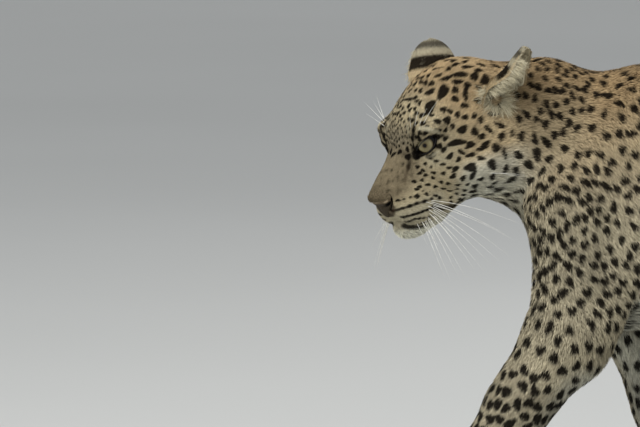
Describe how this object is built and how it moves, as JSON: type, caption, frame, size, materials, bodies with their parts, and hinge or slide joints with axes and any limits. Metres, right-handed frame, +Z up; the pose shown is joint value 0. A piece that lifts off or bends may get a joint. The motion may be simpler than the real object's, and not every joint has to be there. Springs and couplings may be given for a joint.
{
  "type": "leopard",
  "caption": "Life-size standing leopard, mid-stride with her head low and turned to her left, tail hanging and lifting at its end.",
  "frame": {"origin": "under the middle of the whole animal, at the ground the paws stand on", "axes": "+Z up, she faces -X, her left side is towards -Y, the tail reaches towards +X"},
  "size_m": [1.4722, 0.2658, 0.6222],
  "materials": {
    "coat": "short tan fur with black rosettes and spots",
    "pale_coat": "short cream fur with black spots",
    "nose": "moist, finely pebbled",
    "eye": "wet, clear"
  },
  "bodies": {
    "root": {"belly": "pale_coat", "chest": "coat", "ear_left": "coat", "ear_right": "coat", "eye_left": "eye", "eye_right": "eye", "foreleg_left_lower": "pale_coat", "foreleg_left_paw": "pale_coat", "foreleg_left_upper": "coat", "foreleg_right_lower": "pale_coat", "foreleg_right_paw": "pale_coat", "foreleg_right_upper": "coat", "head": "coat", "hindleg_left_lower": "pale_coat", "hindleg_left_paw": "pale_coat", "hindleg_left_upper": "coat", "hindleg_right_lower": "pale_coat", "hindleg_right_paw": "pale_coat", "hindleg_right_upper": "coat", "muzzle": "pale_coat", "neck": "coat", "nose": "nose", "rump": "coat", "tail_1": "coat", "tail_2": "coat", "tail_3": "coat", "tail_4": "coat"}
  },
  "joints": []
}
